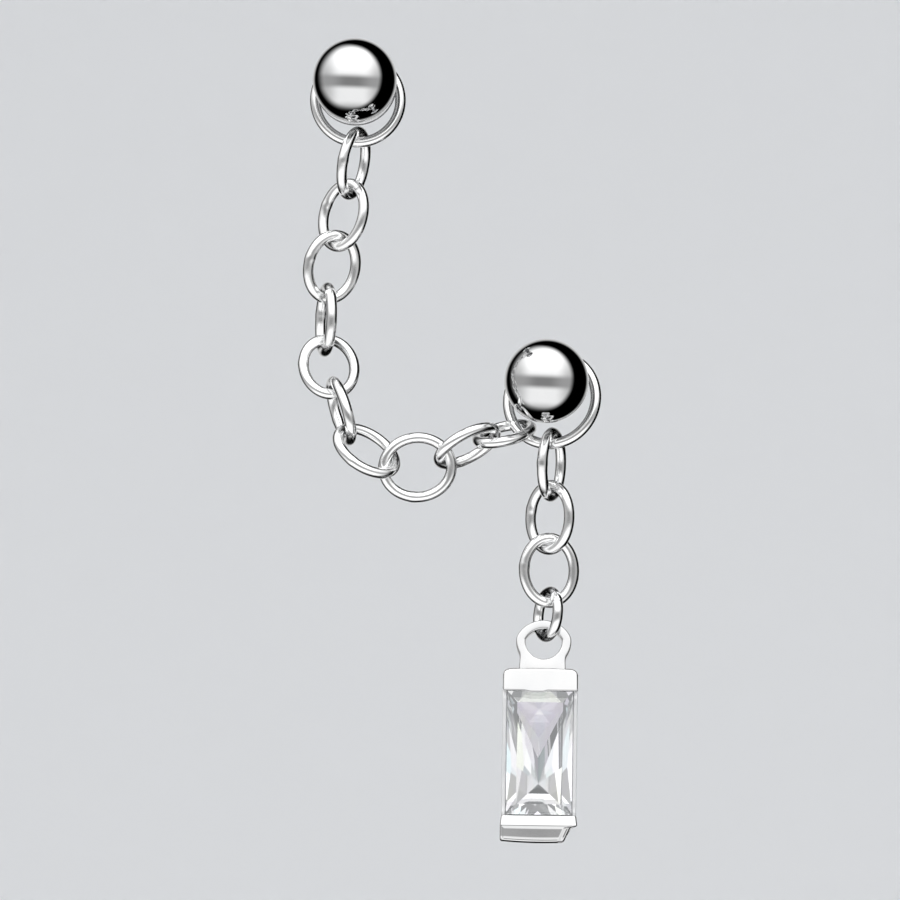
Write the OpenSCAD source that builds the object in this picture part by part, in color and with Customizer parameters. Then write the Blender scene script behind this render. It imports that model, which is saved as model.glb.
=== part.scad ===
// Chain earring: two ball studs, a swag of link chain between them and a hanging baguette drop.
// Millimetres. +Z is up and the posts run back along +Y, so the front is seen along +Y.
// The origin is on the upper post's axis, in the plane that both studs pin through (y = 0).

/* [Studs] */
// diameter of both balls
ball_d = 2.94; // [2.86:0.02:3.1]
// ball centres stand this far in front of the pinning plane
ball_out = 2.1; // [2.1:0.05:2.4]
// diameter of both posts
post_d = 1.2; // [1.0:0.1:1.2]
// pinning plane to the tail of a post
post_reach = 8.0; // [7.2:0.2:10]
// pinning plane to the backs, the stretch of post that grips
grip = 5.0; // [4:0.2:6]
// diameter of the backs, just under the balls'
back_d = 2.9; // [2.6:0.1:4]
// thickness of their discs
back_thick = 0.6; // [0.4:0.1:0.8]
// lower post, to the right of the upper one
lower_x = 7.14; // [7.1:0.01:7.18]
// lower post, below the upper one
lower_drop = 10.19; // [10.15:0.01:10.22]

/* [Rings] */
// wire of the two stud rings
ring_wire = 0.38; // [0.3:0.02:0.4]
// centre line radius of the upper ring
upper_ring_r = 1.49; // [1.48:0.01:1.51]
// centre line radius of the lower ring
lower_ring_r = 1.60; // [1.59:0.01:1.62]
// wire of the jump ring over the pendant
jump_wire = 0.38; // [0.3:0.02:0.4]
// centre line radius of the jump ring
jump_r = 0.80; // [0.79:0.01:0.81]

/* [Chain] */
// width of the chain's stand-in tube
chain_d = 1.6; // [1.2:0.1:1.8]

/* [Pendant] */
// half width of the setting
set_half = 1.31; // [1.28:0.01:1.34]
// depth of the setting, front to back
set_depth = 1.6; // [1.4:0.1:1.8]
// thickness of the eyelet
eye_thick = 0.45; // [0.4:0.01:0.48]
// side rail beside the stone
rail = 0.14; // [0.12:0.01:0.18]
// gap all round the stone
stone_gap = 0.02; // [0.01:0.01:0.04]
// how far the stone's table stands back from the caps' front
table_in = 0.08; // [0.06:0.01:0.12]
// how far the cap's front leans back at its top
cap_slope = 0.18; // [0.1:0.02:0.24]
// lean of the eyelet, from its top down towards the cap's front, in degrees
eye_lean = 12; // [0:1:12]

/* [Hidden] */
$fn = 64;

// studs: running fit on the posts, depth of the balls' sockets, slimmer tail, collar and chamfers
fit_gap = 0.02;
socket_deep = 1.2;
tip_step = 0.2;
tip_r = post_d / 2 - tip_step;
tip_chamfer = 0.15;
front_chamfer = 0.06;
collar = 0.6;
collar_r = 1.0;
collar_chamfer = 0.10;
disc_chamfer = 0.12;
chain_sides = 8;

// centres of the rings, and their turns in degrees
upper_ring_at = [0.13, -0.55, -0.66];
upper_ring_tip = -8;
lower_ring_at = [7.37, -0.60, -10.83];
lower_ring_tip = -22;
lower_ring_turn = -52.5;
jump_at = [7.56, -0.5, -18.335];
jump_turn = -66;
jump_lean = 4.5;

steel = [0.78, 0.79, 0.80];
dark_steel = [0.62, 0.63, 0.65];
glass = [0.86, 0.93, 0.97];

// contact points of the links, upper ring to lower ring; the first and last stop short of the rings
main_route = [
    [0.10, -0.68, -2.45],
    [0.00, -0.45, -3.80],
    [-0.40, -0.45, -5.60],
    [-0.65, -0.30, -7.45],
    [-0.65, -0.35, -9.30],
    [-0.30, -1.35, -10.85],
    [0.30, -2.35, -12.30],
    [1.85, -2.45, -13.25],
    [3.70, -2.35, -12.95],
    [5.30, -1.95, -12.20],
    [6.00, -1.15, -11.98]
];
drop_route = [
    [7.53, -0.78, -12.80],
    [7.50, -0.60, -14.05],
    [7.45, -0.50, -15.90],
    [7.58, -0.50, -17.28]
];

// pendant: its middle in the frame, its lean, and heights from that middle
pend_at = [7.47, -0.5, -23.27];
pend_lean = -1.7;
cap_top = 3.06;
cap_low = 2.26;
foot_top = -2.09;
foot_edge = -2.43;
foot_low = -3.08;
foot_half = set_half + 0.04;
foot_cut = [[0.88, foot_low], [1.12, -2.52], [set_half, -2.48]];
foot_chamfer = 0.10;
foot_bevel = 0.20;
cap_corner = 0.25;
rail_in = 0.25;
seat_half = set_half - rail;
seat_deep = 1.3;
window_half = 0.85;
window_low = -1.85;
window_high = 1.75;

// eyelet: outline and hole are each shared by two circles, the second one lower and wider
eye_x = 0.095;
eye_z = 3.94;
eye_r = 0.965;
eye_drop = 0.30;
eye_hole_r = 0.635;
hole_drop = 0.285;
second_wider = 0.085;
hole_flare = 0.24;
hole_deep = 0.3;
neck_left = [[-0.83, cap_top - 0.2], [-0.75, 3.30], [-0.73, 3.44]];
neck_right = [[0.88, 3.44], [0.87, 3.30], [0.91, cap_top - 0.2]];

// stone: the table's sides, lower and upper end inside the girdle, the girdle's two edges behind the caps' front
table_inset = [0.35, 0.37, 0.38];
girdle = [0.30, 0.38];

// a plain round ring that lies in X and Z
module wire_ring(r, wire) {
    rotate([90, 0, 0])
        rotate_extrude($fn = 96)
            translate([r, 0])
                circle(r = wire / 2, $fn = 32);
}

// a ball with the blind socket that its post ends in; local origin where the post meets the pinning plane
module ball() {
    difference() {
        translate([0, -ball_out, 0])
            sphere(d = ball_d, $fn = 96);
        translate([0, -ball_out + ball_d / 2 - socket_deep, 0])
            rotate([-90, 0, 0])
                cylinder(r = post_d / 2 + fit_gap, h = ball_d);
    }
}

// post from the socket's floor to a slimmer tail, by its own side profile
module post() {
    front = -ball_out + ball_d / 2 - socket_deep + fit_gap;
    step = grip + back_thick + collar + tip_step;
    rotate([-90, 0, 0])
        rotate_extrude()
            polygon([
                [0, front],
                [post_d / 2 - front_chamfer, front],
                [post_d / 2, front + front_chamfer],
                [post_d / 2, step - tip_step],
                [tip_r, step],
                [tip_r, post_reach - tip_chamfer],
                [tip_r - tip_chamfer, post_reach],
                [0, post_reach]
            ]);
}

// disc with a collar that slides on the post from behind
module back() {
    bore = post_d / 2 + fit_gap;
    c = disc_chamfer;
    rear = grip + back_thick;
    rotate([-90, 0, 0])
        rotate_extrude()
            polygon([
                [bore, grip],
                [back_d / 2 - c, grip],
                [back_d / 2, grip + c],
                [back_d / 2, rear - c],
                [back_d / 2 - c, rear],
                [collar_r, rear],
                [collar_r, rear + collar - collar_chamfer],
                [collar_r - collar_chamfer, rear + collar],
                [bore, rear + collar]
            ]);
}

// tube along a route: ring i lies across the mean of the two stretches that meet there
function unit(v) = v / norm(v);
function course(p, i) =
    i == 0 ? unit(p[1] - p[0])
    : i == len(p) - 1 ? unit(p[i] - p[i - 1])
    : unit(unit(p[i] - p[i - 1]) + unit(p[i + 1] - p[i]));
function across(t) = unit(cross([0, 1, 0], t));
function tube_points(p, r, n) = [
    for (i = [0 : len(p) - 1])
        let (t = course(p, i), a = across(t), b = cross(t, a))
            for (k = [0 : n - 1])
                p[i] + r * (cos(360 * k / n) * a + sin(360 * k / n) * b)
];
function tube_sides(rings, n) = [
    for (i = [0 : rings - 2])
        for (k = [0 : n - 1])
            for (half = [0, 1])
                half == 0
                    ? [i * n + k, (i + 1) * n + k, (i + 1) * n + (k + 1) % n]
                    : [i * n + k, (i + 1) * n + (k + 1) % n, i * n + (k + 1) % n]
];
function cap_start(n) = [for (k = [0 : n - 1]) k];
function cap_end(rings, n) = [for (k = [0 : n - 1]) rings * n - 1 - k];

module tube(p) {
    polyhedron(
        points = tube_points(p, chain_d / 2, chain_sides),
        faces = concat(
            [cap_start(chain_sides)],
            tube_sides(len(p), chain_sides),
            [cap_end(len(p), chain_sides)]
        ),
        convexity = 6
    );
}

// a shape drawn in X and Z, thick from y = near to y = far
module slab(near, far) {
    translate([0, far, 0])
        rotate([90, 0, 0])
            linear_extrude(far - near)
                children();
}

module in_pendant() {
    translate(pend_at)
        rotate([0, pend_lean, 0])
            children();
}

// hole of the eyelet, widening to both faces so that the jump ring's curved wire can turn in it
module flared(r, z, side) {
    translate([eye_x, 0, z])
        rotate([90 * side, 0, 0])
            cylinder(r1 = r, r2 = r + hole_flare, h = hole_deep);
}

module eye_hole(side) {
    intersection() {
        flared(eye_hole_r, eye_z, side);
        flared(eye_hole_r + second_wider, eye_z - hole_drop, side);
    }
}

module eyelet() {
    difference() {
        slab(-eye_thick / 2, eye_thick / 2)
            union() {
                intersection() {
                    translate([eye_x, eye_z])
                        circle(r = eye_r, $fn = 96);
                    translate([eye_x, eye_z - eye_drop])
                        circle(r = eye_r + second_wider, $fn = 96);
                }
                polygon(concat(neck_left, neck_right));
            }
        eye_hole(1);
        eye_hole(-1);
    }
}

// the eyelet hangs upright from its top bar and comes forward towards the cap
module leaning_eyelet() {
    top_bar = eye_z + (eye_r + eye_hole_r) / 2 - 0.23;
    translate([0, 0, top_bar])
        rotate([-eye_lean, 0, 0])
            translate([0, 0, -top_bar])
                eyelet();
}

// front outline of the caps and frame, with the foot's cut corner at the lower right
module set_outline() {
    r = cap_corner;
    polygon(concat([[-foot_half, foot_low]], foot_cut, [
        [foot_half, foot_edge],
        [set_half, foot_top],
        [set_half, cap_top - r],
        [-set_half, cap_top - r],
        [-set_half, foot_top]
    ]));
    translate([-set_half + r, cap_top - 2 * r])
        square([2 * (set_half - r), 2 * r]);
    for (s = [-1, 1])
        translate([s * (set_half - r), cap_top - r])
            circle(r = r, $fn = 48);
}

// side view: sloped cap front, rails lower than the caps, bevelled and rounded foot
module set_side() {
    f = -set_depth / 2;
    b = set_depth / 2;
    rotate([90, 0, 90])
        linear_extrude(4, center = true)
            polygon([
                [b, foot_low],
                [f + foot_chamfer, foot_low],
                [f, foot_low + foot_chamfer],
                [f, foot_edge],
                [f + foot_bevel, foot_top],
                [f + rail_in, foot_top],
                [f + rail_in, cap_low],
                [f, cap_low],
                [f + cap_slope, cap_top],
                [b, cap_top]
            ]);
}

module setting() {
    f = -set_depth / 2;
    b = set_depth / 2;
    difference() {
        union() {
            intersection() {
                slab(f, b)
                    set_outline();
                set_side();
            }
            leaning_eyelet();
        }
        translate([-seat_half, f - 0.1, foot_top])
            cube([2 * seat_half, seat_deep + 0.1, cap_low - foot_top]);
        translate([-window_half, 0, window_low])
            cube([2 * window_half, set_depth, window_high - window_low]);
    }
}

// one rectangle of the stone at depth y
function step(w, low, high, y) = [[-w, y, low], [w, y, low], [w, y, high], [-w, y, high]];

// table, girdle and then the facets at the back, which meet in two side corners and three on the keel
module stone() {
    g = stone_gap;
    f = -set_depth / 2;
    w = seat_half - g;
    z0 = foot_top + g;
    z1 = cap_low - g;
    rows = [
        step(w - table_inset[0], z0 + table_inset[1], z1 - table_inset[2], f + table_in),
        step(w, z0, z1, f + girdle[0]),
        step(w, z0, z1, f + girdle[1])
    ];
    back_corners = [
        [-0.80, -0.07, -0.40],
        [0.80, -0.07, -0.40],
        [-0.02, 0.60, -1.00],
        [-0.05, 0.54, -0.10],
        [-0.03, 0.40, 0.60]
    ];
    polyhedron(
        points = concat([for (row = rows) for (p = row) p], back_corners),
        faces = concat(
            [[3, 2, 1, 0]],
            [for (i = [0 : 1]) for (k = [0 : 3])
                [i * 4 + k, i * 4 + (k + 1) % 4, (i + 1) * 4 + (k + 1) % 4, (i + 1) * 4 + k]],
            [
                [14, 8, 9], [14, 9, 13], [14, 11, 12], [12, 8, 14],
                [11, 8, 12], [15, 11, 14], [15, 16, 11], [11, 16, 10],
                [10, 16, 15], [14, 10, 15], [13, 10, 14], [13, 9, 10]
            ]
        ),
        convexity = 2
    );
}

module upper_ball() {
    color(steel)
        ball();
}

module upper_post() {
    color(dark_steel)
        post();
}

module upper_back() {
    color(dark_steel)
        back();
}

module upper_ring() {
    color(steel)
        translate(upper_ring_at)
            rotate([upper_ring_tip, 0, 0])
                wire_ring(upper_ring_r, ring_wire);
}

module main_chain() {
    color(steel)
        tube(main_route);
}

module lower_ball() {
    color(steel)
        translate([lower_x, 0, -lower_drop])
            ball();
}

module lower_post() {
    color(dark_steel)
        translate([lower_x, 0, -lower_drop])
            post();
}

module lower_back() {
    color(dark_steel)
        translate([lower_x, 0, -lower_drop])
            back();
}

// the lower ring leans: its upper left goes back and its lower right comes forward
module lower_ring() {
    color(steel)
        translate(lower_ring_at)
            rotate([0, lower_ring_turn, 0])
                rotate([lower_ring_tip, 0, 0])
                    wire_ring(lower_ring_r, ring_wire);
}

module drop_chain() {
    color(steel)
        tube(drop_route);
}

// seen nearly edge on: the left side is turned away
module jump_ring() {
    color(steel)
        translate(jump_at)
            rotate([0, jump_lean, 0])
                rotate([0, 0, jump_turn])
                    wire_ring(jump_r, jump_wire);
}

module pendant_setting() {
    color(steel)
        in_pendant()
            setting();
}

module baguette_stone() {
    color(glass)
        in_pendant()
            stone();
}

upper_ball();
upper_post();
upper_back();
upper_ring();
main_chain();
lower_ball();
lower_post();
lower_back();
lower_ring();
drop_chain();
jump_ring();
pendant_setting();
baguette_stone();
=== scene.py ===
from math import radians

import bmesh
import bpy
import numpy as np
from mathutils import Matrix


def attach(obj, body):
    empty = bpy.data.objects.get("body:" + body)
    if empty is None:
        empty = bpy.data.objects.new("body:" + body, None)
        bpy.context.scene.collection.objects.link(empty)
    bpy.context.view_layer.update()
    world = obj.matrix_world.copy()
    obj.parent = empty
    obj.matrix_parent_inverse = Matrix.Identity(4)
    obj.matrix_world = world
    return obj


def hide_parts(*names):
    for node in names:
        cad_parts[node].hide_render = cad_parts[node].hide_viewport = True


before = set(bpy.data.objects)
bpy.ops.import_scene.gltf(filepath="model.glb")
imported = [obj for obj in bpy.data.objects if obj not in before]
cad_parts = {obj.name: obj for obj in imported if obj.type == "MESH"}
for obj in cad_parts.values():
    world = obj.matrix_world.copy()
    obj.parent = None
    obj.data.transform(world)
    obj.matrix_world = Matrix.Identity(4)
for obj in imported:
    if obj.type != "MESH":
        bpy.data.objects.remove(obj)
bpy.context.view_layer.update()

# Chain earring: two ball studs, a swag of link chain between them, and a drop with a long set stone.
# Sizes are in millimetres, in the model's own frame, and putIn() turns them into metres.
metre = 0.001


# Meshes: a skin is its points and a list of face arrays

def gridFaces(rows, columns, loopRows, loopColumns):
    # Face (i, j) joins points (i, j), (i, j+1), (i+1, j+1) and (i+1, j). A looped side goes on to its start.
    i, j = np.meshgrid(
        np.arange(rows if loopRows else rows - 1),
        np.arange(columns if loopColumns else columns - 1),
        indexing="ij",
    )
    down, across = (i + 1) % rows, (j + 1) % columns
    corners = [i * columns + j, i * columns + across, down * columns + across, down * columns + j]
    return np.stack(corners, -1).reshape(-1, 4)


def turnedOut(points, faceSets):
    # Volume of a skin: the sum over its triangles of a . (b x c) / 6. Where that is negative, every face is
    # reversed.
    volume = 0.0
    for faces in faceSets:
        for k in range(1, faces.shape[1] - 1):
            a, b, c = points[faces[:, 0]], points[faces[:, k]], points[faces[:, k + 1]]
            volume += np.einsum("ij,ij->i", a, np.cross(b, c)).sum() / 6
    return points, [faces[:, ::-1] if volume < 0 else faces for faces in faceSets]


def skin(grid, poles=None, loopRows=False):
    # A closed skin over grid[row, column], whose columns always loop. Its rows loop too, or a fan closes the
    # first and the last row, from the two poles given or else from the middle of each of these rows.
    grid = np.asarray(grid, float)
    rows, columns = grid.shape[:2]
    points = grid.reshape(-1, 3)
    quads = gridFaces(rows, columns, loopRows, True)
    if loopRows:
        return turnedOut(points, [quads])
    poles = grid[[0, -1]].mean(1) if poles is None else np.asarray(poles, float)
    here = np.arange(columns)
    there = (here + 1) % columns
    last = (rows - 1) * columns
    first = np.stack([there, here, np.full(columns, len(points))], 1)
    final = np.stack([last + here, last + there, np.full(columns, len(points) + 1)], 1)
    return turnedOut(np.vstack([points, poles]), [quads, first, final])


def putIn(name, skins, material):
    # Joins the skins into one mesh, in metres, and puts it into the scene.
    points, faces, start = [], [], 0
    for skinPoints, faceSets in skins:
        points.append(skinPoints * metre)
        for faceSet in faceSets:
            faces.extend((faceSet + start).tolist())
        start += len(skinPoints)
    mesh = bpy.data.meshes.new(name)
    mesh.from_pydata(np.vstack(points), [], faces)
    mesh.polygons.foreach_set("use_smooth", np.ones(len(mesh.polygons), bool))
    mesh.materials.append(material)
    mesh.update()
    piece = bpy.data.objects.new(name, mesh)
    bpy.context.scene.collection.objects.link(piece)
    return piece


def assemble(piece, body, slot, *nodes):
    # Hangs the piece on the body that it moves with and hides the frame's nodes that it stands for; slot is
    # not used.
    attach(piece, body)
    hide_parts(*nodes)
    print("made", piece.name, len(piece.data.polygons), "faces")


# Shapes that several pieces share

def unit(v):
    return v / np.linalg.norm(v, axis=-1, keepdims=True)


def partWay(value, start, stop):
    # How far value is on its way from start to stop, held between 0 and 1
    return np.clip((value - start) / (stop - start), 0, 1)


def eased(share):
    # 3 s^2 - 2 s^3: from 0 to 1 with a soft start and stop
    return share ** 2 * (3 - 2 * share)


def turnAbout(points, degrees, axis):
    # Turns points about X, Y or Z (axis 0, 1 or 2), right-handed.
    a = np.radians(degrees)
    one, two = (axis + 1) % 3, (axis + 2) % 3
    turned = np.array(points, float)
    turned[..., one] = points[..., one] * np.cos(a) - points[..., two] * np.sin(a)
    turned[..., two] = points[..., one] * np.sin(a) + points[..., two] * np.cos(a)
    return turned


def arc(centre, radius, start, stop, steps):
    # Points centre + radius (cos a, sin a) for angles from start to stop, in degrees
    angle = np.radians(np.linspace(start, stop, steps))
    return np.stack([centre[0] + radius * np.cos(angle), centre[1] + radius * np.sin(angle)], 1)


def softCorners(corners, soft, steps=6):
    # Each corner C is cut back by soft towards both neighbours, to A and B, and rounded:
    # (1-t)^2 A + 2t(1-t) C + t^2 B
    corners = np.asarray(corners, float)
    soft = np.broadcast_to(np.asarray(soft, float), len(corners))[:, None]
    before, after = np.roll(corners, 1, 0) - corners, np.roll(corners, -1, 0) - corners
    a = corners + soft * unit(before)
    b = corners + soft * unit(after)
    t = np.linspace(0, 1, steps)[:, None, None]
    rounded = (1 - t) ** 2 * a + 2 * t * (1 - t) * corners + t ** 2 * b
    return rounded.transpose(1, 0, 2).reshape(-1, 2)


# Node helpers for the materials

def newMaterial(name):
    material = bpy.data.materials.new(name)
    material.use_nodes = True
    return material, material.node_tree.nodes, material.node_tree.links


def objectPlace(nodes, links, scale=(1, 1, 1), shift=(0, 0, 0)):
    # Object coordinates in metres, scaled and then shifted, for patterns that stay on the piece
    place = nodes.new("ShaderNodeTexCoord")
    mapping = nodes.new("ShaderNodeMapping")
    mapping.inputs["Scale"].default_value = scale
    mapping.inputs["Location"].default_value = shift
    links.new(place.outputs["Object"], mapping.inputs["Vector"])
    return mapping.outputs["Vector"]


def formulas(nodes, links):
    # Two short makers for one material: math() is one sum, product and so on, and step() goes softly from
    # toLow to toHigh while its value goes from low to high.
    def math(operation, *values):
        node = nodes.new("ShaderNodeMath")
        node.operation = operation
        for socket, value in zip(node.inputs, values):
            if isinstance(value, (int, float)):
                socket.default_value = value
            else:
                links.new(value, socket)
        return node.outputs[0]

    def step(value, low, high, toLow=0.0, toHigh=1.0):
        node = nodes.new("ShaderNodeMapRange")
        node.interpolation_type = "SMOOTHSTEP"
        ends = {"From Min": low, "From Max": high, "To Min": toLow, "To Max": toHigh}
        for socket, end in ends.items():
            node.inputs[socket].default_value = end
        links.new(value, node.inputs["Value"])
        return node.outputs["Result"]

    return math, step


def lengthOf(math, a, b):
    # sqrt(a^2 + b^2)
    return math("SQRT", math("ADD", math("MULTIPLY", a, a), math("MULTIPLY", b, b)))


def noise(nodes, links, vector, scale, detail):
    node = nodes.new("ShaderNodeTexNoise")
    node.inputs["Scale"].default_value = scale
    node.inputs["Detail"].default_value = detail
    links.new(vector, node.inputs["Vector"])
    return node.outputs["Fac"]


def colorRamp(nodes, links, value, stops):
    # Each stop is a position and its colour, from low to high.
    ramp = nodes.new("ShaderNodeValToRGB")
    stops = list(stops)
    for position, _ in stops[1:-1]:
        ramp.color_ramp.elements.new(position)
    for element, (position, color) in zip(ramp.color_ramp.elements, stops):
        element.position = position
        element.color = (*color, 1)
    links.new(value, ramp.inputs["Fac"])
    return ramp.outputs["Color"]


def bumpFrom(nodes, links, height, strength, depth):
    bump = nodes.new("ShaderNodeBump")
    bump.inputs["Strength"].default_value = strength
    bump.inputs["Distance"].default_value = depth * metre
    links.new(height, bump.inputs["Height"])
    links.new(bump.outputs["Normal"], nodes["Principled BSDF"].inputs["Normal"])


def glow(nodes, links, strength, color=None):
    # Makes the material shine by itself.
    nodes.remove(nodes["Principled BSDF"])
    emission = nodes.new("ShaderNodeEmission")
    links.new(strength, emission.inputs["Strength"])
    if color:
        links.new(color, emission.inputs["Color"])
    links.new(emission.outputs["Emission"], nodes["Material Output"].inputs["Surface"])


# Camera

view = dict(
    middle=(3.881, -0.70, -12.745),  # what the picture is centred on
    distance=600,                    # long enough for a nearly flat view
    frameWidth=31.47,                # how much of the object's plane the picture spans
    turn=2.5,                        # degrees that the picture was turned from plumb
    sensor=36,                       # width of the camera's sensor
)


def placeCamera():
    x, y, z = view["middle"]
    data = bpy.data.cameras.new("camera")
    data.sensor_width = view["sensor"]
    data.lens = data.sensor_width * view["distance"] / view["frameWidth"]
    camera = bpy.data.objects.new("camera", data)
    camera.location = (x * metre, (y - view["distance"]) * metre, z * metre)
    camera.rotation_euler = (radians(90), -radians(view["turn"]), 0)
    bpy.context.scene.collection.objects.link(camera)
    bpy.context.scene.camera = camera
    print("camera placed")


# Floor and soft light

stage = dict(
    floor=-150.0,          # height of the floor, well under the drop
    rings=(40, 160, 400),  # radii of the floor's inner rings of points
    flatRadius=640,        # the floor is flat to here, then sweeps up to a round wall
    sweep=260,
    wallTop=900,
    tone=(0.83, 0.835, 0.84),
    darkest=0.97,          # share of that tone in its darkest clouds
    clouds=9,              # how small the clouds are
    rough=0.9,
    shine=0.2,
    skyLight=1.02,         # even light on floor and wall
    skyColor=(0.97, 0.98, 1.0),
)
lamp = dict(
    watts=1.8,           # soft lamp that shades the floor
    size=350,
    at=(-150, -100),     # beside and in front of the piece
    height=500,
    lean=(-12, -16),
)


def paleStage():
    material, nodes, links = newMaterial("paleStage")
    paint = nodes["Principled BSDF"]
    clouds = noise(nodes, links, objectPlace(nodes, links), stage["clouds"], 4)
    darkest = tuple(stage["darkest"] * part for part in stage["tone"])
    tone = colorRamp(nodes, links, clouds, [(0, darkest), (1, stage["tone"])])
    links.new(tone, paint.inputs["Base Color"])
    paint.inputs["Roughness"].default_value = stage["rough"]
    paint.inputs["Specular IOR Level"].default_value = stage["shine"]
    return material


def buildFloor():
    # A profile of (radius, height), flat, then a quarter circle up to the wall, turned about Z. A fan closes
    # its middle.
    x, y = view["middle"][:2]
    bend = np.linspace(0, np.pi / 2, 25)
    flat, sweep = stage["flatRadius"], stage["sweep"]
    radius = np.concatenate([stage["rings"], flat + sweep * np.sin(bend), [flat + sweep]])
    level = np.zeros(len(stage["rings"]))
    height = np.concatenate([level, sweep * (1 - np.cos(bend)), [stage["wallTop"]]])
    around = np.linspace(0, 2 * np.pi, 96, endpoint=False)
    grid = np.stack([
        x + radius[:, None] * np.cos(around),
        y + radius[:, None] * np.sin(around),
        stage["floor"] + height[:, None] + 0 * around,
    ], -1)
    rows, columns = grid.shape[:2]
    middle = [[x, y, stage["floor"]]]
    here = np.arange(columns)
    fan = np.stack([here, (here + 1) % columns, np.full(columns, rows * columns)], 1)
    sheet = gridFaces(rows, columns, False, True)[:, ::-1]
    floor = putIn("floor", [(np.vstack([grid.reshape(-1, 3), middle]), [sheet, fan])], paleStage())
    floor.visible_glossy = False
    floor.visible_transmission = False
    floor.visible_shadow = False
    return floor


def lightStage():
    x, y = view["middle"][:2]
    data = bpy.data.lights.new("softLamp", "AREA")
    data.shape = "DISK"
    data.size = lamp["size"] * metre
    data.energy = lamp["watts"]
    softLamp = bpy.data.objects.new("softLamp", data)
    aside, forward = lamp["at"]
    softLamp.location = ((x + aside) * metre, (y + forward) * metre, lamp["height"] * metre)
    softLamp.rotation_euler = (radians(lamp["lean"][0]), radians(lamp["lean"][1]), 0)
    softLamp.visible_glossy = False
    softLamp.visible_transmission = False
    bpy.context.scene.collection.objects.link(softLamp)

    world = bpy.data.worlds.new("evenLight")
    world.use_nodes = True
    background = world.node_tree.nodes["Background"]
    background.inputs["Color"].default_value = (*stage["skyColor"], 1)
    background.inputs["Strength"].default_value = stage["skyLight"]
    world.cycles_visibility.glossy = False
    world.cycles_visibility.transmission = False
    bpy.context.scene.world = world
    bpy.context.scene.view_settings.view_transform = "Standard"


# Two tents of glowing cloth round the piece: one is seen only in polished metal and on the stone's faces, the
# other only through the stone

tent = dict(
    radius=330,               # of the ball of cloth
    # Brightness is drawn over (p, q), the place on a polished ball, seen from the front, that mirrors a
    # direction: 0, 0 is the ball's middle and a radius of 1 its outline.
    middle=(-0.10, 0.05),     # middle of the cloth's outline, and its half width and half height
    halfSize=(0.70, 0.735),
    edge=(0.13, 0.09),        # softness of the outline at the left and the right, and where it changes
    edgeFrom=(-0.3, 0.1),
    fade=(-0.80, -0.46),      # the cloth darkens downwards between these heights
    upper=1.85,               # brightness of the upper cloth and of the lower
    lower=1.25,
    blend=(0.05, 0.50),       # they meet between these heights
    middleLine=-0.07,         # the cloth is brightest along this upright line
    sides=(0.26, 0.64),       # it falls to a share of that between these distances from the line
    sideShare=0.55,
    gapAt=-0.02,              # height of the grey gap between them, and where its edge starts and ends
    gapEdge=(0.06, 0.21),
    gapMiddle=0.30,           # brightness in the gap's middle and out at its sides, and where it changes
    gapSides=0.46,
    gapFrom=(0.1, 0.5),
    rear=0.70,                # white panel behind the piece, and where its edge starts and ends
    rearEdge=(0.93, 0.985),
)
gemTent = dict(
    radius=310,
    front=1.42,               # white in front and above
    frontLow=0.55,            # in front and below, and the heights it changes between
    lowFrom=(-0.30, 0.0),
    sides=(0.30, 0.70),       # in front it falls to a share of that, this far from the middle line
    sideShare=0.50,
    rear=0.66,                # grey behind and above
    rearLow=0.92,             # behind and below, and the heights it changes between
    rearFrom=(-0.75, -0.45),
    backFrom=(-0.1, 0.3),     # front turns to rear between these depths
    patch=0.31,               # share left in a dark place straight in front, and its size as a sine
    patchSize=0.12,
    patchEdge=(0.6, 1.4),     # where its edge starts and ends, in shares of that size
    # faint colours that change with the direction
    tints=((0.80, 0.97, 1.0), (1.0, 1.0, 1.0), (1.0, 1.0, 1.0), (0.92, 0.87, 1.0), (0.96, 1.0, 0.88)),
    tintSpread=(0.32, 0.68),
    tintScale=2.6,            # how quickly the tint changes with direction
)


def tentDirection(nodes, links, radius):
    # The three parts of the direction from the middle of a tent, as a vector one long
    direction = nodes.new("ShaderNodeVectorMath")
    direction.operation = "NORMALIZE"
    links.new(objectPlace(nodes, links, (1 / (radius * metre),) * 3), direction.inputs[0])
    split = nodes.new("ShaderNodeSeparateXYZ")
    links.new(direction.outputs["Vector"], split.inputs["Vector"])
    return split.outputs["X"], split.outputs["Y"], split.outputs["Z"]


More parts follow.
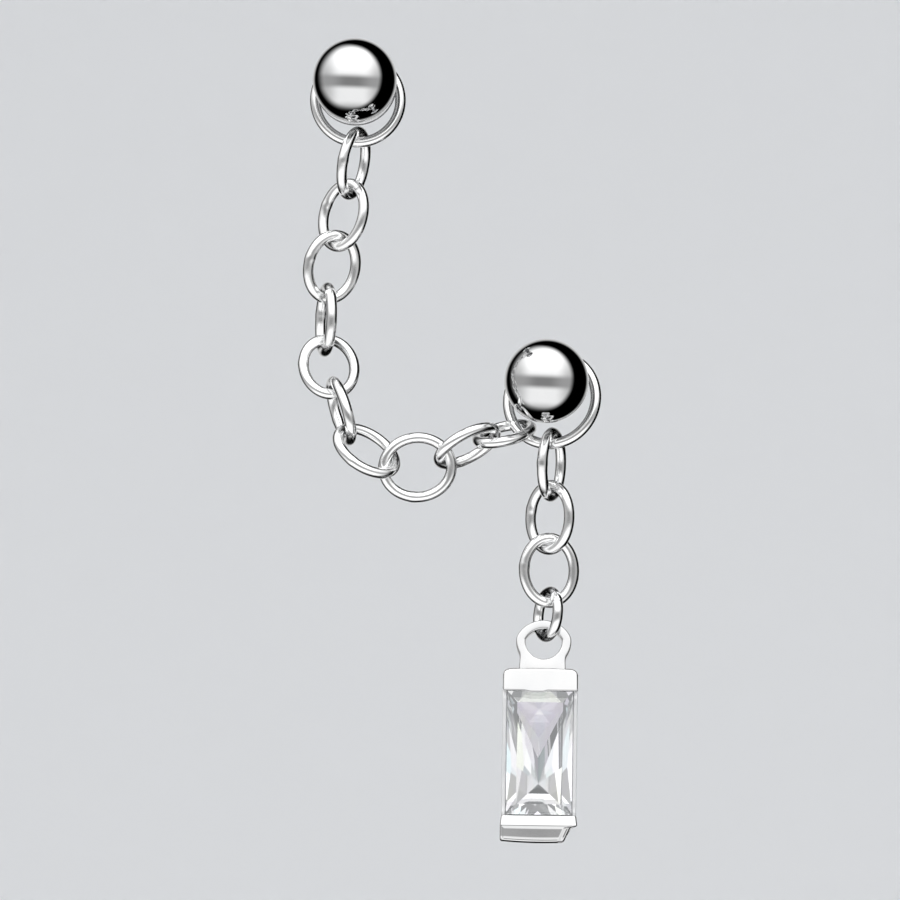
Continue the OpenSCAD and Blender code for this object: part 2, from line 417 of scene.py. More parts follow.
def tentCloth():
    # For a direction (x, y, z): p = x / sqrt(2 - 2y) and q = z / sqrt(2 - 2y). The cloth is bright inside an
    # oval of p and q, with a level grey gap across it, and dark outside it.
    material, nodes, links = newMaterial("tentCloth")
    math, step = formulas(nodes, links)
    x, y, z = tentDirection(nodes, links, tent["radius"])
    root = math("SQRT", math("MAXIMUM", math("MULTIPLY", math("SUBTRACT", 1.0, y), 2.0), 0.00001))
    p, q = math("DIVIDE", x, root), math("DIVIDE", z, root)

    side, rise = math("SUBTRACT", p, tent["middle"][0]), math("SUBTRACT", q, tent["middle"][1])
    wide, tall = math("DIVIDE", side, tent["halfSize"][0]), math("DIVIDE", rise, tent["halfSize"][1])
    softness = step(side, *tent["edgeFrom"], *tent["edge"])
    outward = math("SUBTRACT", lengthOf(math, wide, tall), 1.0)
    inside = step(math("DIVIDE", outward, softness), -1.0, 1.0, 1.0, 0.0)
    inside = math("MULTIPLY", inside, step(q, *tent["fade"]))

    offLine = math("ABSOLUTE", math("SUBTRACT", p, tent["middleLine"]))
    level = step(q, *tent["blend"], tent["lower"], tent["upper"])
    level = math("MULTIPLY", level, step(offLine, *tent["sides"], 1.0, tent["sideShare"]))
    offGap = step(math("ABSOLUTE", math("SUBTRACT", q, tent["gapAt"])), *tent["gapEdge"])
    gap = step(offLine, *tent["gapFrom"], tent["gapMiddle"], tent["gapSides"])
    gap = math("MULTIPLY", gap, math("SUBTRACT", 1.0, offGap))
    cloth = math("MULTIPLY", math("ADD", math("MULTIPLY", level, offGap), gap), inside)
    panel = step(lengthOf(math, p, q), *tent["rearEdge"], 0.0, tent["rear"])
    glow(nodes, links, math("ADD", cloth, panel))
    return material


def gemTentCloth():
    # Front: brightness by height, times a fall to both sides, times the dark patch straight in front.
    # Rear: brightness by height. The two are mixed by depth y.
    material, nodes, links = newMaterial("gemTentCloth")
    math, step = formulas(nodes, links)
    x, y, z = tentDirection(nodes, links, gemTent["radius"])

    above = step(z, *gemTent["lowFrom"], gemTent["frontLow"], gemTent["front"])
    beside = step(math("ABSOLUTE", x), *gemTent["sides"], 1.0, gemTent["sideShare"])
    patchEdge = [gemTent["patchSize"] * share for share in gemTent["patchEdge"]]
    patch = step(lengthOf(math, x, z), *patchEdge, gemTent["patch"], 1.0)
    front = math("MULTIPLY", math("MULTIPLY", above, beside), patch)
    front = math("MULTIPLY", front, step(y, *gemTent["backFrom"], 1.0, 0.0))
    rear = step(z, *gemTent["rearFrom"], gemTent["rearLow"], gemTent["rear"])
    cloth = math("ADD", front, math("MULTIPLY", rear, step(y, *gemTent["backFrom"])))

    place = objectPlace(nodes, links, (1 / (gemTent["radius"] * metre),) * 3)
    places = np.linspace(*gemTent["tintSpread"], len(gemTent["tints"]))
    tint = colorRamp(
        nodes, links, noise(nodes, links, place, gemTent["tintScale"], 1), zip(places, gemTent["tints"]))
    glow(nodes, links, cloth, tint)
    return material


def tentBall(name, radius, material):
    # A closed ball (r sin t cos u, r sin t sin u, r cos t) round the middle of the picture
    x, y, z = view["middle"]
    t = np.linspace(0, np.pi, 65)[1:-1, None]
    u = np.linspace(0, 2 * np.pi, 128, endpoint=False)
    ball = radius * np.stack([np.sin(t) * np.cos(u), np.sin(t) * np.sin(u), np.cos(t) + 0 * u], -1)
    cloth = putIn(name, [skin(ball, [(0, 0, radius), (0, 0, -radius)])], material)
    cloth.location = (x * metre, y * metre, z * metre)
    cloth.visible_camera = False
    cloth.visible_diffuse = False
    cloth.visible_shadow = False
    return cloth


def buildStage():
    floor = buildFloor()
    cloth = tentBall("tent", tent["radius"], tentCloth())
    cloth.visible_transmission = False
    gemCloth = tentBall("gemTent", gemTent["radius"], gemTentCloth())
    gemCloth.visible_glossy = False
    lightStage()
    print("stage and light made")


# Polished steel, in a darker and a lighter tone

finish = dict(
    steel=((0.66, 0.665, 0.67), (0.71, 0.71, 0.71)),  # balls and setting
    wire=((0.88, 0.885, 0.89), (0.94, 0.94, 0.94)),   # rings, links and the stone's seat
    spread=(0.3, 0.7),                                # the tone changes between these heights of its noise
    wear=(0.1, 0.45),                                 # and the roughness between these
    fine=9,                                           # the fine noise is this many times finer
)


def polished(name, tones, grain, rough, ripple, metallic=1.0):
    # Slow and fine unevenness in the shine, and a faint ripple left by the polishing wheel
    material, nodes, links = newMaterial(name)
    math, step = formulas(nodes, links)
    metal = nodes["Principled BSDF"]
    metal.inputs["Metallic"].default_value = metallic
    place = objectPlace(nodes, links)
    slow = noise(nodes, links, place, grain, 3)
    fine = noise(nodes, links, place, grain * finish["fine"], 2)
    tone = colorRamp(nodes, links, slow, zip(finish["spread"], finish[tones]))
    links.new(tone, metal.inputs["Base Color"])
    links.new(step(math("MULTIPLY", slow, fine), *finish["wear"], *rough), metal.inputs["Roughness"])
    bumpFrom(nodes, links, fine, 1.0, ripple)
    return material


# Studs: balls, posts and backs, each a profile of (radius, depth) turned about the post's axis

stud = dict(
    upper=(0.0, 0.0),        # where each post's axis stands, x and z
    lower=(7.14, -10.19),
    ballRadius=1.47,
    ballOut=2.1,             # ball centre in front of the pinning plane
    socketRadius=0.62,
    socketFloor=-1.8,
    socketLip=0.03,          # rounding of the socket's rim, and of the edge of its floor
    socketEdge=0.02,
    postRadius=0.6,
    postFront=-1.78,
    taper=(6.2, 6.4),        # where the post narrows to its tip
    tipRadius=0.4,
    postEnd=8.0,
    postSoft=(0.05, 0.06, 0.06, 0.14),  # rounding of its edges, front to rear
    core=0.05,               # radius of the innermost ring of points at its ends; twice that in the socket
    backRadius=1.45,
    backFront=5.0,
    backThick=0.6,
    collarRadius=1.0,
    collarLong=0.6,
    backSoft=(0.04, 0.14, 0.14, 0.05, 0.12, 0.05),  # rounding of its edges, from the bore outwards and round
    polish=dict(tones="steel", grain=700, rough=(0.03, 0.07), ripple=0.00012),
)
turnedMetal = dict(
    tones=((0.60, 0.605, 0.615), (0.72, 0.725, 0.73)),
    spread=(0.3, 0.7),
    clouds=1.3,
    mirror=0.78,             # how far it mirrors; the rest is matt, so that no side goes black
    rough=(0.16, 0.26),
    wear=(0.25, 0.75),       # the roughness changes between these heights of its noise
    marks=22,                # turning marks: how close they are, how strong and how deep
    markStrength=0.6,
    markDepth=0.0012,
)


def turnedSteel(name, axisAt):
    # Lathe-turned steel: fine rings that follow radius + depth, duller than the polished pieces.
    material, nodes, links = newMaterial(name)
    math, step = formulas(nodes, links)
    metal = nodes["Principled BSDF"]
    metal.inputs["Metallic"].default_value = turnedMetal["mirror"]
    place = objectPlace(nodes, links, (1 / metre,) * 3, (-axisAt[0], 0, -axisAt[1]))
    split = nodes.new("ShaderNodeSeparateXYZ")
    links.new(place, split.inputs["Vector"])
    x, y, z = (split.outputs[part] for part in "XYZ")
    marks = nodes.new("ShaderNodeTexNoise")
    marks.noise_dimensions = "1D"
    marks.inputs["Scale"].default_value = turnedMetal["marks"]
    marks.inputs["Detail"].default_value = 3
    links.new(math("ADD", lengthOf(math, x, z), y), marks.inputs["W"])
    clouds = noise(nodes, links, place, turnedMetal["clouds"], 3)
    tone = colorRamp(nodes, links, clouds, zip(turnedMetal["spread"], turnedMetal["tones"]))
    links.new(tone, metal.inputs["Base Color"])
    links.new(step(clouds, *turnedMetal["wear"], *turnedMetal["rough"]), metal.inputs["Roughness"])
    bumpFrom(nodes, links, marks.outputs["Fac"], turnedMetal["markStrength"], turnedMetal["markDepth"])
    return material


def turnedSkin(profile, axisAt, around, poleDepths=None):
    # Point (radius, y) of the profile becomes (x + radius cos v, y, z + radius sin v). Without poles it is a
    # tube whose profile is a closed outline.
    v = np.linspace(0, 2 * np.pi, around, endpoint=False)
    radius, depth = np.asarray(profile, float).T[:, :, None]
    grid = np.stack([axisAt[0] + radius * np.cos(v), depth + 0 * v, axisAt[1] + radius * np.sin(v)], -1)
    if poleDepths is None:
        return skin(grid, loopRows=True)
    return skin(grid, [(axisAt[0], y, axisAt[1]) for y in poleDepths])


def ballSkin(axisAt):
    # A sphere from its front pole round to the socket's rim, then the socket's wall and floor
    radius, out, hole, floor = stud["ballRadius"], stud["ballOut"], stud["socketRadius"], stud["socketFloor"]
    lip, edge = stud["socketLip"], stud["socketEdge"]
    rim = np.degrees(np.arccos(hole / radius))
    outside = arc((0, -out), radius, -89, rim - 1.5, 72)  # stops short of the rim, where the lip goes on
    turn = arc((hole + lip, -out + radius * np.sin(np.radians(rim)) - lip), lip, 70, 180, 6)
    wall = [(hole, floor + edge), (hole - edge, floor), (2 * stud["core"], floor)]
    return turnedSkin(np.vstack([outside, turn, wall]), axisAt, 128, (-out - radius, floor))


def postSkin(axisAt):
    # A rod with rounded edges that narrows to its tip
    radius, front, end, tip = stud["postRadius"], stud["postFront"], stud["postEnd"], stud["tipRadius"]
    start, stop = stud["taper"]
    core = stud["core"]
    outline = [(core, front), (radius, front), (radius, start), (tip, stop), (tip, end), (core, end)]
    rounded = softCorners(outline, (0, *stud["postSoft"], 0))[6:-6]  # without the two core corners' rows
    return turnedSkin(np.vstack([outline[:1], rounded, outline[-1:]]), axisAt, 72, (front, end))


def backSkin(axisAt):
    # A disc with a collar behind it, and a bore through both
    bore, wide, collar = stud["socketRadius"], stud["backRadius"], stud["collarRadius"]
    front = stud["backFront"]
    rear = front + stud["backThick"]
    end = rear + stud["collarLong"]
    outline = [(bore, front), (wide, front), (wide, rear), (collar, rear), (collar, end), (bore, end)]
    return turnedSkin(softCorners(outline, stud["backSoft"], 7), axisAt, 128)


def buildStuds():
    ballFinish = polished("mirrorBall", **stud["polish"])
    for side in ("upper", "lower"):
        axisAt = stud[side]
        plain = turnedSteel(side + "TurnedSteel", axisAt)
        ball = putIn(side + "Ball", [ballSkin(axisAt)], ballFinish)
        assemble(ball, "earring", "polished_steel", side + "_ball")
        post = putIn(side + "Post", [postSkin(axisAt)], plain)
        assemble(post, "earring", "plain_steel", side + "_post")
        back = putIn(side + "Back", [backSkin(axisAt)], plain)
        assemble(back, "earring", "plain_steel", side + "_back")
    print("studs made")


# Rings, jump ring and chain links: round wire carried along a closed loop

rings = dict(
    # turns are pairs of degrees and axis, one after the other, and seam is the angle of the closed join
    upper=dict(centre=(0.13, -0.55, -0.66), radius=1.49, turns=((-8, 0),), seam=70),
    lower=dict(centre=(7.37, -0.60, -10.83), radius=1.60, turns=((-22, 0), (-52.5, 1)), seam=160),
    jump=dict(centre=(7.56, -0.50, -18.335), radius=0.80, turns=((-66, 2), (4.5, 1)), seam=35),
    wire=0.38,
    groove=0.10,        # depth of the join's groove, as a share of the wire, and its width in radians
    grooveWidth=0.018,
    polish=dict(tones="wire", grain=900, rough=(0.12, 0.20), ripple=0.00025),
)
chain = dict(
    long=2.64,          # outer size of a link
    wide=2.16,
    wire=0.38,
    bigLink=7,          # one link of the swag, counted from 0, is opened wider than the rest
    bigLong=2.76,
    bigWide=2.46,
    seamAt=1.75,        # where the soldered join is, in radians from the link's second end
    seam=0.06,          # how far it stands proud, as a share of the wire, and its width in radians
    seamWidth=0.10,
    polish=dict(tones="wire", grain=1200, rough=(0.14, 0.22), ripple=0.0004),
)
# Where each link's neighbours hang on it, chosen over the picture in steps of 0.05 mm, and the link's
# turn about the line between these ends, in degrees. A link's length is its own and doesn't follow from them.
# The first set runs from the upper ring to the lower ring, the second from there to the jump ring.
mainLinks = [
    ((0.15, -0.75, -1.95), (0.00, -0.45, -3.80), -65),
    ((0.00, -0.45, -3.80), (-0.40, -0.45, -5.60), 41),
    ((-0.40, -0.45, -5.60), (-0.65, -0.30, -7.45), -24),
    ((-0.65, -0.30, -7.40), (-0.65, -0.35, -9.35), 77),
    ((-0.65, -0.35, -9.20), (-0.30, -1.35, -10.85), -10),
    ((-0.30, -1.35, -10.80), (0.35, -2.30, -12.30), 75),
    ((0.15, -2.45, -12.40), (1.80, -2.50, -13.40), -50),
    ((1.85, -2.35, -13.50), (3.70, -2.25, -13.30), 5),
    ((3.60, -2.40, -13.00), (5.35, -1.80, -12.15), 62),
    ((5.20, -1.95, -12.45), (6.30, -0.10, -11.75), -65),
]
dropLinks = [
    ((7.40, -0.95, -12.15), (7.50, -0.60, -14.05), -68),
    ((7.50, -0.60, -14.00), (7.45, -0.50, -15.90), 41),
    ((7.45, -0.55, -15.85), (7.60, -0.50, -17.75), -12),
]


def wireSkin(line, normal, radius, around):
    # Point (i, v) = line[i] + radius[i] (cos v side[i] + sin v normal), where side = direction x normal
    direction = unit(np.roll(line, -1, 0) - np.roll(line, 1, 0))
    side = unit(np.cross(direction, normal))
    v = np.linspace(0, 2 * np.pi, around, endpoint=False)[:, None]
    section = np.cos(v) * side[:, None] + np.sin(v) * normal
    return skin(line[:, None] + radius[:, None, None] * section, loopRows=True)


def bellAt(u, middle, width):
    # exp(-(d / width)^2), where d is the angle from the middle the short way round
    away = (u - middle + np.pi) % (2 * np.pi) - np.pi
    return np.exp(-(away / width) ** 2)


def ringSkin(ring):
    # A circle (R cos u, 0, R sin u), turned and moved to its place, with the fine groove of its join
    u = np.linspace(0, 2 * np.pi, 240, endpoint=False)
    line = ring["radius"] * np.stack([np.cos(u), 0 * u, np.sin(u)], 1)
    normal = np.array([0.0, 1.0, 0.0])
    for degrees, axis in ring["turns"]:
        line, normal = turnAbout(line, degrees, axis), turnAbout(normal, degrees, axis)
    groove = rings["groove"] * bellAt(u, radians(ring["seam"]), rings["grooveWidth"])
    return wireSkin(line + np.array(ring["centre"]), normal, rings["wire"] / 2 * (1 - groove), 28)


def linkSkin(start, end, turn, long, wide):
    # An oval c + a cos u along + b sin u across, where along runs from end to end of the link and across is
    # the level direction square to it, turned about it. The soldered join is a slight swelling on one side.
    start, end = np.array(start), np.array(end)
    along = unit(end - start)
    level = unit(np.cross([0.0, 1.0, 0.0], along))
    depth = np.cross(along, level)
    depth = depth * np.sign(depth[1])
    across = np.cos(radians(turn)) * level + np.sin(radians(turn)) * depth
    u = np.linspace(0, 2 * np.pi, 96, endpoint=False)
    a, b = (long - chain["wire"]) / 2, (wide - chain["wire"]) / 2
    line = (start + end) / 2 + a * np.cos(u)[:, None] * along + b * np.sin(u)[:, None] * across
    swelling = chain["seam"] * bellAt(u, chain["seamAt"], chain["seamWidth"])
    return wireSkin(line, unit(np.cross(along, across)), chain["wire"] / 2 * (1 + swelling), 20)


def buildRings():
    wireFinish = polished("polishedWire", **rings["polish"])
    for name, piece, node in (
            ("upper", "upperRing", "upper_ring"),
            ("lower", "lowerRing", "lower_ring"),
            ("jump", "jumpRing", "jump_ring")):
        assemble(putIn(piece, [ringSkin(rings[name])], wireFinish), "earring", "polished_steel", node)
    print("rings made")


def buildChains():
    linkFinish = polished("polishedLinks", **chain["polish"])
    plainSize = (chain["long"], chain["wide"])
    main = []
    for number, link in enumerate(mainLinks):
        long, wide = (chain["bigLong"], chain["bigWide"]) if number == chain["bigLink"] else plainSize
        main.append(linkSkin(*link, long, wide))
    drop = [linkSkin(*link, *plainSize) for link in dropLinks]
    assemble(putIn("mainChainLinks", main, linkFinish), "earring", "polished_steel", "main_chain")
    assemble(putIn("dropChainLinks", drop, linkFinish), "earring", "polished_steel", "drop_chain")
    print("chains made")


# Pendant: its setting and stone, drawn round the pendant's own middle, then leaned and moved to their place.
# Here u runs across it, y to the back and w up.

setting = dict(
    at=(7.47, -0.50, -23.27),
    lean=-1.7,          # degrees about Y
    half=1.31,          # half its width
    front=-0.80,
    rear=0.80,
    soft=0.07,          # rounding of the outer edges
    polish=dict(tones="steel", grain=800, rough=(0.05, 0.12), ripple=0.0005),
)


def inPlace(points):
    # Leans the pendant about Y and moves it to its middle.
    return turnAbout(np.asarray(points, float), setting["lean"], 1) + np.array(setting["at"])


def inset(outline, distance):
    # Moves each point of a closed outline (..., n, 2) inwards, square to the line between its neighbours.
    step = unit(np.roll(outline, -1, -2) - np.roll(outline, 1, -2))
    inward = np.stack([-step[..., 1], step[..., 0]], -1)
    x, y = outline[..., 0], outline[..., 1]
    area = (x * np.roll(y, -1, -1) - y * np.roll(x, -1, -1)).sum(-1)
    return outline + np.sign(area)[..., None, None] * inward * np.asarray(distance)[..., None, None]


def endRows(soft):
    # Rows near one end of a bar, end first: how far in from the end they are, soft (1 - cos a), and how much
    # the section is drawn in there, soft (1 - sin a). The first row lies in the flat end.
    a = np.linspace(0, np.pi / 2, 7)
    inwards = np.concatenate([[0, 0], soft * (1 - np.cos(a))[1:]])
    drawn = np.concatenate([[soft * 1.6, soft], soft * (1 - np.sin(a))[1:]])
    return inwards, drawn


def barSkin(section, leftEnd, rightEnd, shape, middleRows):
    # Section (y, w) is carried from the left end to the right end, which depend on w, and is drawn in by a
    # quarter round at both ends. shape(points) then moves the points.
    soft = setting["soft"]
    inwards, drawn = endRows(soft)
    count = len(inwards)
    outlines = inset(np.broadcast_to(section, (count, *section.shape)), drawn)
    share = np.linspace(0, 1, middleRows)[1:-1]
    between = np.broadcast_to(section, (len(share), *section.shape))
    y, w = np.moveaxis(np.concatenate([outlines, between, outlines[::-1]]), -1, 0)
    left, right = leftEnd(w), rightEnd(w)
    share = np.concatenate([np.zeros(count), share, np.ones(count)])[:, None]
    u = left + soft + share * (right - left - 2 * soft)
    u[:count] += (inwards - soft)[:, None]
    u[-count:] += (soft - inwards[::-1])[:, None]
    return skin(inPlace(shape(np.stack([u, y, w], -1))))


def finer(outline, step):
    # Adds points to a closed outline so that none is further than step from the last: the outline as a
    # function of its length, taken at its own points and at every whole step.
    closed = np.vstack([outline, outline[:1]])
    length = np.concatenate([[0], np.linalg.norm(np.diff(closed, axis=0), axis=1).cumsum()])
    at = np.unique(np.round(np.concatenate([length[:-1], np.arange(0, length[-1] - step / 2, step)]), 4))
    return np.stack([np.interp(at, length, closed[:, 0]), np.interp(at, length, closed[:, 1])], 1)


cap = dict(
    top=3.06,
    low=2.26,
    slope=0.18,                   # how far its front leans back at its top
    soft=(0.05, 0.08, 0.10, 0.09),  # rounding of its edges: lower front, lower rear, upper rear, upper front
    crown=0.05,                   # rise of its top in its middle
    corner=0.25,                  # width of its round upper corners
    cornerDrop=0.20,
    cornerBend=0.96,              # under 1, so that the round doesn't end in an upright wall
    lip=(-0.46, 0.17),            # where its lower edge is pressed down over the stone
    lipRun=(0.15, 0.10),          # half the lengths over which the lip sets in and ends
    lipDrop=0.06,
    lipHeight=0.2,                # share of the cap's height that the lip reaches up to
    faceEdge=(-0.60, -0.62),      # only the front moves with the lip: the change is between these depths
)


def capSkin():
    # A bar with a leaning front. Its top comes down by crown (u / half)^2 and by a quarter round at both
    # corners, and its lower front edge by an eased wave.
    low, top = cap["low"], cap["top"]
    front, rear, half = setting["front"], setting["rear"], setting["half"]
    corners = [(front, low), (rear, low), (rear, top), (front + cap["slope"], top)]
    section = softCorners(corners, cap["soft"], 7)

    def shape(points):
        u, y, w = np.moveaxis(points, -1, 0)
        upper = partWay(w, low, top)
        corner = partWay(np.abs(u), half - cap["corner"], half)
        drop = cap["cornerDrop"] * (1 - np.sqrt(1 - cap["cornerBend"] * corner ** 2))
        drop = drop + cap["crown"] * (u / half) ** 2
        (start, stop), (rise, fall) = cap["lip"], cap["lipRun"]
        wave = eased(partWay(u, start - rise, start + rise) * partWay(u, stop + fall, stop - fall))
        wave = wave * cap["lipDrop"] * partWay(upper, cap["lipHeight"], 0) * partWay(y, *cap["faceEdge"])
        return np.stack([u, y - cap["slope"] / (top - low) * wave, w - drop * upper ** 2 - wave], -1)

    return barSkin(finer(section, 0.03), lambda w: 0 * w - half, lambda w: 0 * w + half, shape, 90)


foot = dict(
    top=-2.09,
    edge=-2.43,          # height of the edge where its front bends back
    low=-3.08,
    half=1.35,           # half its width from that edge down
    bevel=0.20,          # how far its front leans back above the edge, and below it
    lean=0.06,
    soft=(0.04, 0.05, 0.22, 0.10, 0.05),  # rounding of its edges, from the upper front round by the lower
    rightEnd=((-3.08, 0.88), (-2.52, 1.12), (-2.48, 1.31), (-2.43, 1.35), (-2.09, 1.31)),  # height and u
    rim=(0.06, 0.15),    # the face sinks between these distances from its edges
    rimOver=0.03,        # its upper edge is taken as this much above the bend
    sunk=0.03,
    band=0.26,           # width and slope of the slanted band along the cut corner
    bandSlope=0.36,
    bandFrom=0.125,      # it reaches its full slope at this share of the face's height
    faceDeep=0.15,       # points nearer than this to the front belong to the face
    bow=0.06,            # rise of the lower edge towards both ends
)


def footSkin():
    # A bar with a bent front. The face lies deeper than its rim: depth grows smoothly with the distance from
    # the edges, and evenly towards the cut corner. The lower edge rises by bow (u / half)^2.
    top, edge, low = foot["top"], foot["edge"], foot["low"]
    front, rear, half = setting["front"], setting["rear"], setting["half"]
    corners = [
        (front + foot["bevel"], top), (front, edge), (front + foot["lean"], low), (rear, low), (rear, top)]
    section = softCorners(corners, foot["soft"], 8)
    endHeights, endPlaces = np.array(foot["rightEnd"]).T

    def leftEnd(w):
        return -half - (foot["half"] - half) * partWay(w, top, edge)

    def rightEnd(w):
        return np.interp(w, endHeights, endPlaces)

    def shape(points):
        u, y, w = np.moveaxis(points, -1, 0)
        left, right = leftEnd(w), rightEnd(w)
        below = partWay(w, edge, low)
        onFace = y < front + foot["faceDeep"]
        slant = foot["bandSlope"] * np.clip(u - right + foot["band"], 0, foot["band"])
        slant = slant * partWay(below, 0, foot["bandFrom"])
        inside = np.min([u - left, right - u, edge + foot["rimOver"] - w, w - low], 0)
        depth = foot["sunk"] * eased(partWay(inside, *foot["rim"])) + slant
        return np.stack([u, y + depth * onFace, w + foot["bow"] * (u / half) ** 2 * below], -1)

    return barSkin(finer(section, 0.025), leftEnd, rightEnd, shape, 130)


eyelet = dict(
    x=0.095,
    z=3.94,
    radius=0.965,
    hole=0.635,          # radius of the hole
    lower=0.085,         # rim and hole are flattened below by circles this much larger, which lie lower by
    holeDown=0.285,
    rimDown=0.30,
    thick=0.45,
    soft=0.06,           # rounding of the edges
    lean=12,             # degrees that its lower end comes forward, turned about its top bar
    barDown=0.23,        # depth of that turn's axis under the middle of the top bar
    neck=((-0.72, 3.44), (-0.76, 2.75), (0.87, 2.75), (0.85, 3.44)),
    neckFrom=-0.50,      # sine of the direction below which the neck joins
    grazing=0.05,        # least cos(a - b), which keeps r short where a side runs away from the hole
)


def eyeletSkin():
    # Eyelet and neck in one: its section runs from the hole's outline to the outer one, each given as r(a)
    # round the hole's middle. A circle of radius R that lies d lower has
    # r = -d sin a + sqrt(R^2 - d^2 cos^2 a), and a straight side at distance h along the direction b has
    # r = h / cos(a - b). The section is a block with rounded corners.
    a = np.linspace(0, 2 * np.pi, 240, endpoint=False)
    middle = np.array([eyelet["x"], eyelet["z"]])

    def nearer(radius, down):
        wider = radius + eyelet["lower"]
        return np.minimum(radius, -down * np.sin(a) + np.sqrt(wider ** 2 - (down * np.cos(a)) ** 2))

    def straightSide(start, stop):
        run = unit(np.array(stop) - np.array(start))
        across = np.array([run[1], -run[0]])
        distance = (np.array(start) - middle) @ across
        facing = np.cos(a) * across[0] + np.sin(a) * across[1]
        return np.abs(distance) / np.maximum(facing * np.sign(distance), eyelet["grazing"])

    inner = nearer(eyelet["hole"], eyelet["holeDown"])
    outer = nearer(eyelet["radius"], eyelet["rimDown"])
    corners = eyelet["neck"]
    neck = np.min([straightSide(*pair) for pair in zip(corners, corners[1:])], 0)
    outer = np.where(np.sin(a) < eyelet["neckFrom"], np.maximum(outer, neck), outer)
    outer = np.mean([np.roll(outer, k) for k in range(-4, 5)], 0)  # softens where the outlines meet

    soft, half = eyelet["soft"], eyelet["thick"] / 2
    v = np.radians(np.concatenate([np.linspace(0, 90, 8) + quarter for quarter in (0, 90, 180, 270)]))
    outside = np.repeat([1, -1, -1, 1], 8)
    behind = np.repeat([1, 1, -1, -1], 8)
    length = ((outer - inner) / 2)[:, None]
    radius = ((outer + inner) / 2)[:, None] + outside * (length - soft) + soft * np.cos(v)
    y = behind * (half - soft) + soft * np.sin(v) + 0 * radius
    points = np.stack([
        middle[0] + radius * np.cos(a)[:, None], y, middle[1] + radius * np.sin(a)[:, None]], -1)
    pivot = np.array([0, 0, middle[1] + (eyelet["radius"] + eyelet["hole"]) / 2 - eyelet["barDown"]])
    return skin(inPlace(turnAbout(points - pivot, -eyelet["lean"], 0) + pivot), loopRows=True)


seat = dict(
    rail=0.14,           # thickness of the two walls beside the stone
    railFront=-0.55,
    over=0.05,           # how far the walls run on into foot and cap
    floor=0.50,          # depth of the flat frame behind the stone
    windowHalf=0.85,     # the frame's opening
    window=(-1.85, 1.75),
    join=0.02,           # how far the frame's bars run into each other
    railSoft=(0.05, 0.06, 0.10, 0.03),
    sideSoft=(0.03, 0.01, 0.01, 0.05),
    crossSoft=0.03,
    # less than fully metallic, because it is seen through the stone
    polish=dict(tones="wire", grain=1500, rough=(0.30, 0.40), ripple=0.0008, metallic=0.4),
)


def straightSkin(outline, run, upright):
    # The outline is carried straight along the run: as (u, y) up the pendant, or as (y, w) across it.
    one, two = np.array(outline).T[:, None] + 0 * run[None, :, None]
    run = run[:, None] + 0 * one
    return skin(inPlace(np.stack([one, two, run] if upright else [run, one, two], -1)))


def seatSkins():
    # Two thin walls beside the stone, from foot to cap, and the flat frame of four bars behind it
    low, high = foot["top"] - seat["over"], cap["low"] + seat["over"]
    outer, rear, floor, window = setting["half"], setting["rear"], seat["floor"], seat["windowHalf"]
    inner = outer - seat["rail"]
    edge = inner + seat["join"]
    railCorners = [(inner, seat["railFront"]), (outer, seat["railFront"]), (outer, rear), (inner, rear)]
    barCorners = [(window, floor), (edge, floor), (edge, rear), (window, rear)]
    upwards = np.linspace(low, high, 12)
    across = np.linspace(-window - seat["join"], window + seat["join"], 8)
    skins = []
    for side in (-1, 1):
        for corners, soft in ((railCorners, seat["railSoft"]), (barCorners, seat["sideSoft"])):
            skins.append(straightSkin(softCorners(corners, soft) * (side, 1), upwards, True))
    for bottom, top in ((low, seat["window"][0]), (seat["window"][1], high)):
        corners = [(floor, bottom), (rear, bottom), (rear, top), (floor, top)]
        skins.append(straightSkin(softCorners(corners, seat["crossSoft"]), across, False))
    return skins


stone = dict(
    # Rectangles of the cut, front to back: half width, lower and upper end, depth
    steps=((0.80, -1.70, 1.86, -0.72), (1.15, -2.07, 2.24, -0.50), (1.15, -2.07, 2.24, -0.42)),
    # Corners of the facets at the back: across, depth, height
    corners=((-0.80, -0.07, -0.40), (0.80, -0.07, -0.40), (-0.02, 0.60, -1.00), (-0.05, 0.54, -0.10),
             (-0.03, 0.40, 0.60)),
    index=2.17,          # refraction of cubic zirconia
    # a breath of cyan, white, violet and straw, where its facets split the light
    tints=((0.30, (0.93, 0.995, 1.0)), (0.43, (1, 1, 1)),
           (0.57, (0.97, 0.955, 1.0)), (0.70, (1.0, 0.995, 0.95))),
    tintScale=2100,
    tintStretch=(1, 1, 0.45),
    rough=(0.0, 0.012),
    wear=(0.2, 0.8),
    innerLight=0.04,     # stands for light that is thrown about inside for longer than is traced
    innerColor=(0.95, 0.98, 1.0),
)


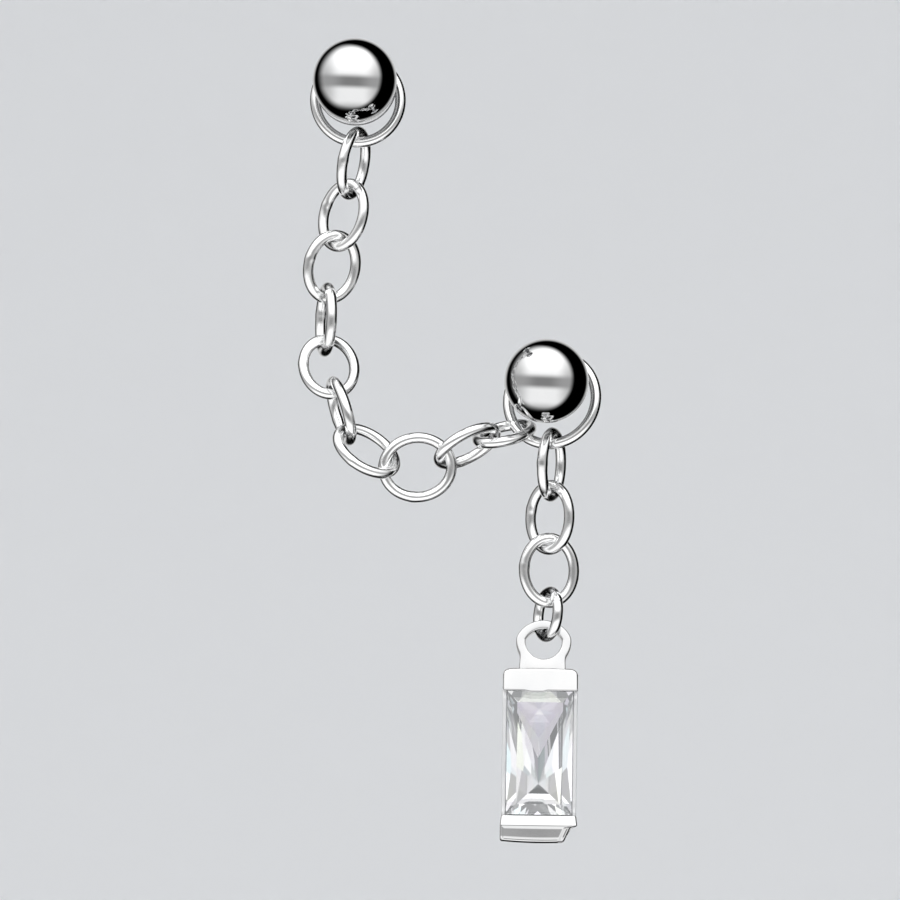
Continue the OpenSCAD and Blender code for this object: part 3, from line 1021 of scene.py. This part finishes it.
def clearStone():
    # Clear, with painted tints for light that its facets split and a trace of roughness, both following one
    # soft noise, and a faint painted glow for light thrown about inside
    material, nodes, links = newMaterial("clearStone")
    _, step = formulas(nodes, links)
    gem = nodes["Principled BSDF"]
    fire = noise(nodes, links, objectPlace(nodes, links, stone["tintStretch"]), stone["tintScale"], 1)
    links.new(colorRamp(nodes, links, fire, stone["tints"]), gem.inputs["Base Color"])
    links.new(step(fire, *stone["wear"], *stone["rough"]), gem.inputs["Roughness"])
    gem.inputs["IOR"].default_value = stone["index"]
    # painted glow: stands for light thrown about inside the stone
    gem.inputs["Emission Color"].default_value = (*stone["innerColor"], 1)
    gem.inputs["Emission Strength"].default_value = stone["innerLight"]
    gem.inputs["Transmission Weight"].default_value = 1.0
    return material


def cutStone(name, material):
    # The smallest body without hollows round all corners of the cut; every face of it is one flat facet.
    wide, low, high, depth = np.array(stone["steps"]).T
    u = np.stack([-wide, wide, wide, -wide], 1)
    w = np.stack([low, low, high, high], 1)
    steps = np.stack([u, np.repeat(depth[:, None], 4, 1), w], -1).reshape(-1, 3)
    corners = inPlace(np.vstack([steps, stone["corners"]])) * metre
    cut = bmesh.new()
    for corner in corners:
        cut.verts.new(corner)
    hull = bmesh.ops.convex_hull(cut, input=cut.verts)
    leftOver = hull["geom_interior"] + hull["geom_unused"]
    loose = {item for item in leftOver if isinstance(item, bmesh.types.BMVert)}
    bmesh.ops.delete(cut, geom=list(loose), context="VERTS")
    bmesh.ops.dissolve_limit(cut, angle_limit=radians(0.3), verts=cut.verts, edges=cut.edges)
    bmesh.ops.recalc_face_normals(cut, faces=cut.faces)
    mesh = bpy.data.meshes.new(name)
    cut.to_mesh(mesh)
    cut.free()
    mesh.materials.append(material)
    piece = bpy.data.objects.new(name, mesh)
    bpy.context.scene.collection.objects.link(piece)
    return piece


def buildPendant():
    settingFinish = polished("polishedSetting", **setting["polish"])
    skins = [capSkin(), footSkin(), eyeletSkin()]
    assemble(putIn("pendantSetting", skins, settingFinish), "pendant", "polished_steel", "pendant_setting")
    seatFinish = polished("satinSeat", **seat["polish"])
    assemble(putIn("stoneSeat", seatSkins(), seatFinish), "pendant", "polished_steel", "pendant_setting")
    assemble(cutStone("baguetteStone", clearStone()), "pendant", "clear_stone", "baguette_stone")
    print("pendant made")


placeCamera()
buildStage()
buildStuds()
buildRings()
buildChains()
buildPendant()
